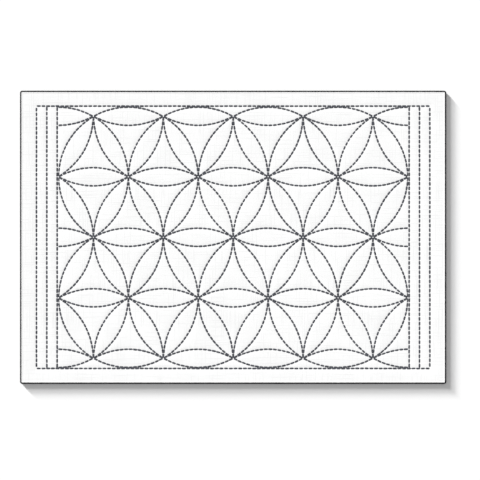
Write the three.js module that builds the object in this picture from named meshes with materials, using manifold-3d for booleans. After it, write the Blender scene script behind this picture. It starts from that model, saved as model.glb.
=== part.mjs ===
// A sashiko place mat: a flat white cotton mat with a rolled hem, lying face up. Running stitches in dark
// thread draw a lattice of overlapping circles, which meet in six-petalled flowers, inside a ruled border.
// The stitches pull the cloth down along their lines, so each petal, and each gusset between petals, stands
// up as a low pillow. Millimetres, +X along the mat's long side, +Y along its short side, +Z up. The origin
// is the middle of the underside.
import * as THREE from 'three';
import { mergeVertices } from 'three/addons/utils/BufferGeometryUtils.js';
import Module from 'manifold-3d';

const wasm = await Module();
wasm.setup();

// Driving dimensions of the pattern
const circleRadius = 72; // also the distance between neighbouring crossings
const petalsAcross = 5; // whole petals side by side in a long row
const crossingRows = 5;
const sideLead = 1.3; // from the outermost crossings to the inner upright line
const endLead = 1.1; // from the crown of the outermost circles to the top or bottom line
const bandPitch = 10.65; // between the three upright lines at each side
const sideMargin = 17; // from the outer upright line to the mat's edge
const endMargin = 15.65; // from the top or bottom line to the mat's edge

// Driving dimensions of the cloth
const stitchedThickness = 1; // along a line of stitches
const padThickness = 1.6; // between the lines
const hemThickness = 2.1;
const hemRoll = 2.6; // width of the rolled hem
const cornerRadius = 2.2;
const innerCornerRadius = 0.5; // inside the hem and round the border
const grooveHalfWidth = 0.85; // flat floor beside a line of stitches
const padShoulder = 3.4; // from a line to where a pillow reaches its full height

// The hem's section from the table up: how far it stands in from the mat's edge, as a share of the roll's
// width, and how high, as a share of the hem's thickness
const hemSection = [
  { inset: 0.2, height: 0 },
  { inset: 0, height: 0.3 },
  { inset: 0, height: 0.65 },
  { inset: 0.25, height: 1 },
  { inset: 0.6, height: 1 },
];

// Driving dimensions of the thread
const threadWidth = 0.8;
const threadHeight = 0.5;
const threadGap = 0.3; // between the cloth and the thread's underside
const bossRadius = 0.58; // where the threads of a crossing meet
const bossSides = 12;

// Fineness of the curves
const arcSteps = 6; // along a sixth of a circle
const cornerSteps = 4; // round a corner of the mat
const mergeDistance = 1e-5;

// Sizes that follow from those
const rowPitch = circleRadius * Math.sin(Math.PI / 3);
const petalHalfWidth = circleRadius * (1 - Math.cos(Math.PI / 6));
const fieldHalfX = (petalsAcross * circleRadius) / 2 + sideLead;
const fieldHalfY = ((crossingRows - 1) / 2) * rowPitch + petalHalfWidth + endLead;
const uprights = [0, 1, 2].map((n) => fieldHalfX + n * bandPitch);
const outerX = uprights[uprights.length - 1];
const matHalfX = outerX + sideMargin;
const matHalfY = fieldHalfY + endMargin;
const lastRow = (crossingRows - 1) / 2;
const rows = Array.from({ length: crossingRows }, (_, n) => n - lastRow);
const shortRows = rows.filter((row) => Math.abs(row) % 2 === 0);

const clothMaterial = new THREE.MeshStandardMaterial({ color: 0xf6f5f1, roughness: 0.92, metalness: 0 });
const threadMaterial = new THREE.MeshStandardMaterial({ color: 0x434957, roughness: 0.8, metalness: 0 });

// A closed geometry through level outlines, given from the lowest up, each { points, z } with equally many
// points. Points run anticlockwise seen from above. An outline may lie inside one below it, as on a rim.
function loft(levels) {
  const count = levels[0].points.length;
  const top = (levels.length - 1) * count;
  const positions = levels.flatMap(({ points, z }) => points.flatMap((p) => [p.x, p.y, z]));
  const index = [];
  for (let base = 0; base < top; base += count) {
    for (let i = 0; i < count; i++) {
      const a = base + i;
      const b = base + ((i + 1) % count);
      index.push(a, b, b + count, a, b + count, a + count);
    }
  }
  for (const [a, b, c] of THREE.ShapeUtils.triangulateShape(levels[0].points, [])) {
    index.push(a, c, b);
  }
  for (const [a, b, c] of THREE.ShapeUtils.triangulateShape(levels[levels.length - 1].points, [])) {
    index.push(top + a, top + b, top + c);
  }
  const geometry = new THREE.BufferGeometry();
  geometry.setAttribute('position', new THREE.Float32BufferAttribute(positions, 3));
  geometry.setIndex(index);
  return geometry;
}

// A closed geometry as a solid that can be joined to others
function solidOf(geometry) {
  const bare = geometry.clone();
  bare.deleteAttribute('normal');
  bare.deleteAttribute('uv');
  const merged = mergeVertices(bare, mergeDistance);
  return new wasm.Manifold(
    new wasm.Mesh({
      numProp: 3,
      vertProperties: merged.attributes.position.array,
      triVerts: new Uint32Array(merged.index.array),
    }),
  );
}

function joined(geometries) {
  return geometries.map(solidOf).reduce((whole, next) => whole.add(next));
}

function meshOf(name, solid, material) {
  const { vertProperties, triVerts } = solid.getMesh();
  const indexed = new THREE.BufferGeometry();
  indexed.setAttribute('position', new THREE.BufferAttribute(vertProperties, 3));
  indexed.setIndex(new THREE.BufferAttribute(triVerts, 1));
  const geometry = indexed.toNonIndexed();
  geometry.computeVertexNormals();
  const mesh = new THREE.Mesh(geometry, material);
  mesh.name = name;
  return mesh;
}

// The crossings of one row of the lattice. Rows are counted from the middle one, and every second row is a
// long one, with one crossing more.
function crossingsOf(row) {
  const count = shortRows.includes(row) ? petalsAcross : petalsAcross + 1;
  const first = -((count - 1) / 2) * circleRadius;
  const y = row * rowPitch;
  return Array.from({ length: count }, (_, n) => new THREE.Vector2(first + n * circleRadius, y));
}

// The two circle centres from which a petal between neighbouring crossings is drawn, left of its line first
function centresOf(from, to) {
  const middle = from.clone().add(to).multiplyScalar(0.5);
  const along = to.clone().sub(from);
  const across = new THREE.Vector2(-along.y, along.x).multiplyScalar(Math.sin(Math.PI / 3));
  return [middle.clone().add(across), middle.clone().sub(across)];
}

// Every whole petal, as its two crossings: along each row, then aslant between neighbouring rows
function wholePetals() {
  const petals = [];
  for (const row of rows) {
    const here = crossingsOf(row);
    const next = row < lastRow ? crossingsOf(row + 1) : [];
    for (let n = 0; n + 1 < here.length; n++) petals.push([here[n], here[n + 1]]);
    for (const from of here) {
      for (const to of next.filter((crossing) => Math.abs(crossing.x - from.x) < circleRadius)) {
        petals.push([from, to]);
      }
    }
  }
  return petals;
}

// The petals that the inner upright line cuts at both ends of each short row. The side is 1 on the right
// and -1 on the left.
function cutPetals() {
  return shortRows.flatMap((row) => {
    const here = crossingsOf(row);
    return [1, -1].map((side) => {
      const from = side > 0 ? here[here.length - 1] : here[0];
      return { side, from, to: new THREE.Vector2(from.x + side * circleRadius, from.y) };
    });
  });
}

// A side of a pillow: an arc about a centre, with the pillow inside or outside its circle, or a straight
// line across x or y. The inset moves it into the pillow.
const arcSide = (centre, inside) => ({
  centre,
  radiusAt: (inset) => circleRadius + (inside ? -inset : inset),
});
const lineSide = (axis, value, sign) => ({ axis, valueAt: (inset) => value - sign * inset });

// The two places where an arc side crosses a straight one
function arcMeetsLine(arc, line, inset) {
  const other = line.axis === 'x' ? 'y' : 'x';
  const offset = line.valueAt(inset) - arc.centre[line.axis];
  const reach = Math.sqrt(arc.radiusAt(inset) ** 2 - offset ** 2);
  return [1, -1].map((sign) => {
    const place = new THREE.Vector2();
    place[line.axis] = line.valueAt(inset);
    place[other] = arc.centre[other] + sign * reach;
    return place;
  });
}

// The two places where two arc sides cross
function arcMeetsArc(a, b, inset) {
  const between = b.centre.clone().sub(a.centre);
  const distance = between.length();
  const along = (distance ** 2 + a.radiusAt(inset) ** 2 - b.radiusAt(inset) ** 2) / (2 * distance);
  const reach = Math.sqrt(a.radiusAt(inset) ** 2 - along ** 2);
  const foot = a.centre.clone().addScaledVector(between, along / distance);
  const across = new THREE.Vector2(-between.y, between.x).divideScalar(distance);
  return [1, -1].map((sign) => foot.clone().addScaledVector(across, sign * reach));
}

// The corner between two sides of a pillow: where they cross, nearest to a rough place
function cornerOf(a, b, inset, near) {
  if (a.axis && b.axis) {
    const corner = new THREE.Vector2();
    corner[a.axis] = a.valueAt(inset);
    corner[b.axis] = b.valueAt(inset);
    return corner;
  }
  let found;
  if (a.axis) found = arcMeetsLine(b, a, inset);
  else if (b.axis) found = arcMeetsLine(a, b, inset);
  else found = arcMeetsArc(a, b, inset);
  return found.sort((p, q) => p.distanceTo(near) - q.distanceTo(near))[0];
}

// The outline of a pillow at an inset. Its sides go round anticlockwise, side n ending at rough corner n.
function outlineAt({ sides, corners }, inset) {
  const at = sides.map((side, n) => cornerOf(side, sides[(n + 1) % sides.length], inset, corners[n]));
  return sides.flatMap((side, n) => {
    const from = at[(n + sides.length - 1) % sides.length];
    if (side.axis) return [from];
    const start = from.clone().sub(side.centre).angle();
    let turn = at[n].clone().sub(side.centre).angle() - start;
    if (turn > Math.PI) turn -= 2 * Math.PI;
    if (turn < -Math.PI) turn += 2 * Math.PI;
    const radius = side.radiusAt(inset);
    return Array.from({ length: arcSteps }, (_, k) => {
      const angle = start + (turn * k) / arcSteps;
      return new THREE.Vector2(radius * Math.cos(angle), radius * Math.sin(angle)).add(side.centre);
    });
  });
}

// A pillow rises from inside the stitched-down cloth to its full height at the shoulder.
function pillow(patch) {
  const foot = outlineAt(patch, grooveHalfWidth);
  return loft([
    { points: foot, z: stitchedThickness / 2 },
    { points: foot, z: stitchedThickness },
    { points: outlineAt(patch, padShoulder), z: padThickness },
  ]);
}

// A patch turned over about the mat's centre lines, and kept anticlockwise
function mirrored({ sides, corners }, flipX, flipY) {
  const flip = { x: flipX, y: flipY };
  const turned = (p) => new THREE.Vector2(p.x * flipX, p.y * flipY);
  const newSides = sides.map((side) =>
    side.axis
      ? { axis: side.axis, valueAt: (inset) => side.valueAt(inset) * flip[side.axis] }
      : { centre: turned(side.centre), radiusAt: side.radiusAt },
  );
  const newCorners = corners.map(turned);
  if (flipX * flipY > 0) return { sides: newSides, corners: newCorners };
  const count = sides.length;
  return {
    sides: newSides.map((_, n) => newSides[count - 1 - n]),
    corners: newCorners.map((_, n) => newCorners[(2 * count - 2 - n) % count]),
  };
}

function petalPatches() {
  return wholePetals().map(([from, to]) => {
    const [left, right] = centresOf(from, to);
    return { sides: [arcSide(left, true), arcSide(right, true)], corners: [to, from] };
  });
}

function cutPetalPatches() {
  return cutPetals()
    .filter(({ side }) => side > 0)
    .flatMap(({ from, to }) => {
      const [above, below] = centresOf(from, to);
      const patch = {
        sides: [arcSide(above, true), lineSide('x', fieldHalfX, 1), arcSide(below, true)],
        corners: [
          new THREE.Vector2(fieldHalfX, from.y - petalHalfWidth),
          new THREE.Vector2(fieldHalfX, from.y + petalHalfWidth),
          from,
        ],
      };
      return [patch, mirrored(patch, -1, 1)];
    });
}

// Two circles touch at a gusset's crossing, so its rough corner is a little way towards the gusset's middle.
function tuckedIn(crossing, middle) {
  const share = 0.3;
  return crossing.clone().lerp(middle, share);
}

// The three-sided gussets between whole petals. Each stands on two neighbouring crossings of one row and
// points at a crossing of the next row up or down.
function gussetPatches() {
  const patches = [];
  for (const row of rows) {
    for (const step of [1, -1].filter((up) => Math.abs(row + up) <= lastRow)) {
      const base = crossingsOf(row);
      for (let n = 0; n + 1 < base.length; n++) {
        const [a, b] = [base[n], base[n + 1]];
        const tip = new THREE.Vector2((a.x + b.x) / 2, (row + step) * rowPitch);
        const round = step > 0 ? [a, b, tip] : [b, a, tip];
        const middle = new THREE.Vector2(tip.x, (row + step / 3) * rowPitch);
        patches.push({
          sides: round.map((from, k) => arcSide(centresOf(from, round[(k + 1) % 3])[1], false)),
          corners: round.map((_, k) => tuckedIn(round[(k + 1) % 3], middle)),
        });
      }
    }
  }
  return patches;
}

// The right half of the gusset between a short row's last crossing and the long row above it
function cutGusset(row) {
  const here = crossingsOf(row);
  const foot = here[here.length - 1];
  const tip = new THREE.Vector2(foot.x + circleRadius / 2, foot.y + rowPitch);
  const petalCentre = new THREE.Vector2(tip.x, foot.y - rowPitch);
  const slantCentre = new THREE.Vector2(tip.x - circleRadius, tip.y);
  return {
    sides: [arcSide(petalCentre, false), lineSide('x', fieldHalfX, 1), arcSide(slantCentre, false)],
    corners: [
      new THREE.Vector2(fieldHalfX, foot.y + petalHalfWidth),
      new THREE.Vector2(fieldHalfX, tip.y - petalHalfWidth),
      tuckedIn(foot, new THREE.Vector2(fieldHalfX, foot.y + rowPitch / 3)),
    ],
  };
}

function cutGussetPatches() {
  return shortRows
    .filter((row) => row < lastRow)
    .map(cutGusset)
    .flatMap((patch) => [
      patch,
      mirrored(patch, -1, 1),
      mirrored(patch, 1, -1),
      mirrored(patch, -1, -1),
    ]);
}

// The flat-topped gussets between the outermost petals and the top or bottom line
function endGussetPatches() {
  return crossingsOf(lastRow).flatMap((crossing) => {
    const centreAt = (side) => new THREE.Vector2(side * (circleRadius / 2), -rowPitch).add(crossing);
    const patch = {
      sides: [arcSide(centreAt(1), false), lineSide('y', fieldHalfY, 1), arcSide(centreAt(-1), false)],
      corners: [
        new THREE.Vector2(crossing.x + circleRadius / 4, fieldHalfY),
        new THREE.Vector2(crossing.x - circleRadius / 4, fieldHalfY),
        crossing,
      ],
    };
    return [patch, mirrored(patch, 1, -1)];
  });
}

// The long plain bands between the upright lines. Straight sides cross once, so they need no rough corners.
function bandPatches() {
  return uprights.slice(1).flatMap((right, n) => {
    const patch = {
      sides: [
        lineSide('y', -fieldHalfY, -1),
        lineSide('x', right, 1),
        lineSide('y', fieldHalfY, 1),
        lineSide('x', uprights[n], -1),
      ],
      corners: [],
    };
    return [patch, mirrored(patch, -1, 1)];
  });
}

// A rectangle with rounded corners, anticlockwise
function roundedRectangle(halfX, halfY, radius) {
  const quarters = [
    [1, 1],
    [-1, 1],
    [-1, -1],
    [1, -1],
  ];
  return quarters.flatMap(([sideX, sideY], quarter) =>
    Array.from({ length: cornerSteps + 1 }, (_, k) => {
      const angle = (Math.PI / 2) * (quarter + k / cornerSteps);
      return new THREE.Vector2(
        sideX * (halfX - radius) + radius * Math.cos(angle),
        sideY * (halfY - radius) + radius * Math.sin(angle),
      );
    }),
  );
}

// The mat without its pillows: underside, rolled hem, plain margin, and the stitched-down floor
function ground() {
  const edge = (inset, z) => {
    const radius = Math.max(cornerRadius - inset, innerCornerRadius);
    return { points: roundedRectangle(matHalfX - inset, matHalfY - inset, radius), z };
  };
  const border = (outset, z) => ({
    points: roundedRectangle(outerX + outset, fieldHalfY + outset, innerCornerRadius),
    z,
  });
  return loft([
    ...hemSection.map(({ inset, height }) => edge(inset * hemRoll, height * hemThickness)),
    edge(hemRoll, padThickness),
    border(padShoulder, padThickness),
    border(grooveHalfWidth, stitchedThickness),
  ]);
}

function cloth() {
  const patches = [
    ...petalPatches(),
    ...cutPetalPatches(),
    ...gussetPatches(),
    ...cutGussetPatches(),
    ...endGussetPatches(),
    ...bandPatches(),
  ];
  return meshOf('cloth', joined([ground(), ...patches.map(pillow)]), clothMaterial);
}

// A thread laid along part of a circle, from one angle to another. An arc in a shape is drawn in twice as
// many steps as its curve segments.
function threadArc(centre, from, to) {
  const shape = new THREE.Shape();
  shape.absarc(centre.x, centre.y, circleRadius + threadWidth / 2, from, to, false);
  shape.absarc(centre.x, centre.y, circleRadius - threadWidth / 2, to, from, true);
  return new THREE.ExtrudeGeometry(shape, {
    depth: threadHeight,
    bevelEnabled: false,
    curveSegments: arcSteps / 2,
  });
}

// The two arcs of a whole petal
function petalThreads([from, to]) {
  return centresOf(from, to).map((centre) => {
    const angles = [from, to].map((crossing) => crossing.clone().sub(centre).angle());
    const turn = (angles[1] - angles[0] + 2 * Math.PI) % (2 * Math.PI);
    const start = turn < Math.PI ? angles[0] : angles[1];
    return threadArc(centre, start, start + Math.PI / 3);
  });
}

// The two half arcs of a cut petal, which stop just short of the inner upright line
function cutPetalThreads({ side, from, to }) {
  const stop = side * (fieldHalfX - threadWidth / 2 - threadGap);
  return centresOf(from, to).map((centre) => {
    const up = Math.sign(from.y - centre.y);
    const angles = [from.x, stop].map((x) => up * Math.acos((x - centre.x) / circleRadius));
    return threadArc(centre, Math.min(...angles), Math.max(...angles));
  });
}

function crossingBoss({ x, y }) {
  const boss = new THREE.CylinderGeometry(bossRadius, bossRadius, threadHeight, bossSides);
  return boss.rotateX(Math.PI / 2).translate(x, y, threadHeight / 2);
}

// Every arc of the circles, with a small round boss where those of a crossing meet
function circleThread() {
  return joined([
    ...rows.flatMap(crossingsOf).map(crossingBoss),
    ...wholePetals().flatMap(petalThreads),
    ...cutPetals().flatMap(cutPetalThreads),
  ]);
}

// The ruled border: a frame round six upright lines, open between each of them and the next
function borderThread() {
  const block = (width, length, height, x) =>
    solidOf(new THREE.BoxGeometry(width, length, height).translate(x, 0, threadHeight / 2));
  const length = 2 * fieldHalfY;
  const lines = [...uprights.map((x) => -x), ...uprights].sort((a, b) => a - b);
  const openings = lines.slice(1).map((right, n) => {
    const width = right - lines[n] - threadWidth;
    return block(width, length - threadWidth, 2 * threadHeight, (right + lines[n]) / 2);
  });
  const whole = block(2 * outerX + threadWidth, length + threadWidth, threadHeight, 0);
  return openings.reduce((frame, opening) => frame.subtract(opening), whole);
}

function thread(name, solid) {
  const mesh = meshOf(name, solid, threadMaterial);
  mesh.position.z = stitchedThickness + threadGap;
  return mesh;
}

const mat = new THREE.Group();
mat.add(cloth(), thread('circle_stitching', circleThread()), thread('border_stitching', borderThread()));

export default mat;
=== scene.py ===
"""A sashiko place mat on a pale floor: white cotton, dark running stitches, overcast edge.

Metres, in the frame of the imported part: +X along the long side, +Y along the short side, +Z up,
and the origin in the middle of the underside.
"""

import logging
import math
from abc import ABC, abstractmethod
from collections.abc import Callable
from dataclasses import dataclass, field
from enum import Enum
from functools import reduce

import bpy
import numpy as np
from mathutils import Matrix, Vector
from mathutils.geometry import delaunay_2d_cdt


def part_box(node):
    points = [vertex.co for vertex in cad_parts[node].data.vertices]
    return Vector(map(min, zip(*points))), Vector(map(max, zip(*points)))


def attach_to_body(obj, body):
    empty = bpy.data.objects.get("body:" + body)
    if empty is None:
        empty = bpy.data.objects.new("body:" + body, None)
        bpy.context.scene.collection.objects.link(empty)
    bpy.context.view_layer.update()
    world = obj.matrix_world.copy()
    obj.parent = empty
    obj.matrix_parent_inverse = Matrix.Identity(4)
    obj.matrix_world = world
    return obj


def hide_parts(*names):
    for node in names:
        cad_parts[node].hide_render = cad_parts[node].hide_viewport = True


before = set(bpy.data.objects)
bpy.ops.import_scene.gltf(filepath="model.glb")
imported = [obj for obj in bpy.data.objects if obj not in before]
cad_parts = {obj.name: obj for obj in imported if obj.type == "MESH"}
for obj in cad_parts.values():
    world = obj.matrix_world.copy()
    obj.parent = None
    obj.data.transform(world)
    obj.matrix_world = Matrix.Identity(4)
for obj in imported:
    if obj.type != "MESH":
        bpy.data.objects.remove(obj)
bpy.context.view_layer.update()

MM = 0.001
TAU = 2 * math.pi
SIXTH_TURN = TAU / 6
BODY = "root"
LOG = logging.getLogger("place_mat")

Socket = bpy.types.NodeSocket
SocketValue = Socket | float | int | bool | str | tuple | None


class Face(Enum):
    """The side of the cloth that a row of thread lies on."""

    FRONT = "front"
    BACK = "back"


class Slot(Enum):
    """The record's material slots."""

    CLOTH = "cloth"
    THREAD = "thread"


class LightReach(Enum):
    """What a light falls on, in the words of light linking."""

    FLOOR_ONLY = "INCLUDE"
    ALL_BUT_FLOOR = "EXCLUDE"


@dataclass(frozen=True)
class Sewing:
    """How the running stitches are sewn.

    Attributes:
        length: What shows of a stitch on the front.
        dive: How much more of it is sunk in the cloth at each end.
        width: The flattened thread's width.
        height: The flattened thread's thickness.
        draw_in: How far the pull of the thread draws the curved and the level lines inwards.
        open_centre: Radius of the cloth left bare at a crossing.
        press: How close two threads lie where they share a line, as a share of their width.
        squeeze: The share of its width that a thread loses at a crossing.
        squeeze_reach: How far from a crossing that is felt.
        arc_stitches: Stitches in a sixth of a circle.
        cut_arc_stitches: Stitches in an arc that the border cuts in half.
        level_stitches: Stitches in a level line of the border.
        upright_stitches: Stitches in an upright line of the border.
        corner_lead: Bare cloth at the ends of a level line.
        upright_leads: Bare cloth at the ends of the inner, the middle and the outer upright line.
        short_of_line: Bare cloth between a cut arc and the line that cuts it.
    """

    length: float = 4.1 * MM
    dive: float = 0.3 * MM
    width: float = 1.94 * MM
    height: float = 0.66 * MM
    draw_in: float = 0.33 * MM
    open_centre: float = 0.7 * MM
    press: float = 0.45
    squeeze: float = 0.46
    squeeze_reach: float = 6 * MM
    arc_stitches: int = 16
    cut_arc_stitches: int = 8
    level_stitches: int = 84
    upright_stitches: int = 56
    corner_lead: float = 0.3 * MM
    upright_leads: tuple[float, float, float] = (1 * MM, 0.9 * MM, 1.6 * MM)
    short_of_line: float = 1.3 * MM


SEWING = Sewing()


# Small helpers


def smooth_step(low: float, high: float, values: np.ndarray) -> np.ndarray:
    """Rises smoothly from 0 to 1 between two values.

    Args:
        low: Where it leaves 0.
        high: Where it reaches 1.
        values: Where to look.

    Returns:
        The share at each value.
    """
    share = np.clip((values - low) / (high - low), 0, 1)
    return share * share * (3 - 2 * share)


def new_mesh(name: str, verts: np.ndarray, edges: list, faces: list) -> bpy.types.Mesh:
    """Makes a mesh from lists.

    Args:
        name: The mesh's name.
        verts: One point a row.
        edges: Pairs of points, for a mesh that has no faces.
        faces: The points round each face, anticlockwise as seen from outside.

    Returns:
        The mesh.
    """
    mesh = bpy.data.meshes.new(name)
    mesh.from_pydata(verts.tolist(), edges, faces)
    return mesh


def ring_edges(count: int) -> list[tuple[int, int]]:
    """The edges of a closed ring of points."""
    return [(n, (n + 1) % count) for n in range(count)]


def placed(name: str, data: bpy.types.ID) -> bpy.types.Object:
    """Puts a mesh, a light or a camera into the scene, at the origin.

    Args:
        name: The new object's name.
        data: What it shows.

    Returns:
        The object.
    """
    made = bpy.data.objects.new(name, data)
    bpy.context.scene.collection.objects.link(made)
    return made


def report(piece: bpy.types.Object) -> None:
    """Logs a piece's name, its triangles and its height above the floor.

    Args:
        piece: A finished piece.
    """
    piece.data.calc_loop_triangles()
    heights = [corner[2] / MM for corner in piece.bound_box]
    LOG.info(
        "%s: %d triangles, from %.2f to %.2f mm above the floor",
        piece.name,
        len(piece.data.loop_triangles),
        min(heights),
        max(heights),
    )


# The lines of stitches


@dataclass(frozen=True)
class Run(ABC):
    """A line of running stitches, from one end to the other.

    Attributes:
        stitches: How many stitches show on the front.
        lead_in: Bare cloth before the first stitch.
        lead_out: Bare cloth after the last stitch.
    """

    stitches: int
    lead_in: float
    lead_out: float

    @property
    @abstractmethod
    def length(self) -> float:
        """The length of the line."""

    @abstractmethod
    def places(self, along: np.ndarray, aside: float | np.ndarray = 0.0) -> np.ndarray:
        """Points at these lengths along the line, moved aside to its left."""

    @abstractmethod
    def foot(self, points: np.ndarray) -> np.ndarray:
        """The length along the line of the place that is nearest to each point."""

    @property
    def first(self) -> float:
        """The length along the line of the first stitch's middle."""
        return self.lead_in + SEWING.length / 2

    @property
    def pitch(self) -> float:
        """The length from one stitch's middle to the next."""
        last = self.length - self.lead_out - SEWING.length / 2
        return (last - self.first) / (self.stitches - 1)

    def nearest(self, points: np.ndarray) -> tuple[np.ndarray, np.ndarray]:
        """Measures how far points are from the line.

        Args:
            points: One point a row.

        Returns:
            Each point's distance, and the length along the line of the nearest place.
        """
        along = self.foot(points)
        return np.linalg.norm(points - self.places(along), axis=1), along

    def sewn_path(self, along: np.ndarray) -> tuple[np.ndarray, np.ndarray]:
        """Finds the thread's own path.

        Args:
            along: Lengths along the line.

        Returns:
            One point a row, and the share of its full width that the thread keeps there.
        """
        return self.places(along), np.ones_like(along)


@dataclass(frozen=True)
class StraightRun(Run):
    """Stitches along a straight line.

    Attributes:
        start: Where the line starts.
        end: Where it ends.
    """

    start: tuple[float, float]
    end: tuple[float, float]

    @property
    def length(self) -> float:
        """The length of the line."""
        return math.dist(self.start, self.end)

    @property
    def direction(self) -> np.ndarray:
        """The unit vector from the start to the end."""
        return (np.array(self.end) - np.array(self.start)) / self.length

    def places(self, along: np.ndarray, aside: float | np.ndarray = 0.0) -> np.ndarray:
        """Points at these lengths along the line, moved aside to its left."""
        left = np.reshape(aside, (-1, 1)) * np.array([-self.direction[1], self.direction[0]])
        return np.array(self.start) + np.outer(along, self.direction) + left

    def foot(self, points: np.ndarray) -> np.ndarray:
        """The length along the line of the place that is nearest to each point."""
        return np.clip((points - np.array(self.start)) @ self.direction, 0, self.length)


@dataclass(frozen=True)
class ArcRun(Run):
    """Stitches along part of a circle, anticlockwise.

    Attributes:
        centre: The circle's centre.
        radius: The circle's radius.
        start_angle: Where the arc starts.
        sweep: The angle that it covers.
        crowded: Whether other threads leave the arc's start and its end in the same direction.
    """

    centre: tuple[float, float]
    radius: float
    start_angle: float
    sweep: float
    crowded: tuple[bool, bool]

    @property
    def length(self) -> float:
        """The length of the line."""
        return self.radius * self.sweep

    def places(self, along: np.ndarray, aside: float | np.ndarray = 0.0) -> np.ndarray:
        """Finds points of the arc.

        Args:
            along: Lengths along the line.
            aside: How far each point is moved to the left, which is towards the centre.

        Returns:
            One point a row.
        """
        angle = self.start_angle + along / self.radius
        ring = np.stack([np.cos(angle), np.sin(angle)], axis=1)
        return np.array(self.centre) + ring * np.reshape(self.radius - aside, (-1, 1))

    def foot(self, points: np.ndarray) -> np.ndarray:
        """Finds the place of the arc that is nearest to each point.

        Args:
            points: One point a row.

        Returns:
            The length along the arc of each place.
        """
        offset = points - np.array(self.centre)
        middle = self.start_angle + self.sweep / 2
        turn = np.arctan2(offset[:, 1], offset[:, 0]) - middle
        turn = (turn + math.pi) % TAU - math.pi
        return (np.clip(turn, -self.sweep / 2, self.sweep / 2) + self.sweep / 2) * self.radius

    def sewn_path(self, along: np.ndarray) -> tuple[np.ndarray, np.ndarray]:
        """Finds the thread's own path, which gives way to the one beside it near a crossing.

        Args:
            along: Lengths along the line.

        Returns:
            One point a row, and the share of its full width that the thread keeps there.
        """
        aside, breadth = np.full_like(along, SEWING.draw_in), np.ones_like(along)
        for crowded, reach in zip(self.crowded, (along, self.length - along)):
            if crowded:
                spare = SEWING.press * SEWING.width / 2 - reach**2 / (2 * self.radius)
                aside = np.maximum(aside, spare)
                breadth -= SEWING.squeeze * np.exp(-((reach / SEWING.squeeze_reach) ** 2))
        return self.places(along, aside), breadth


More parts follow.
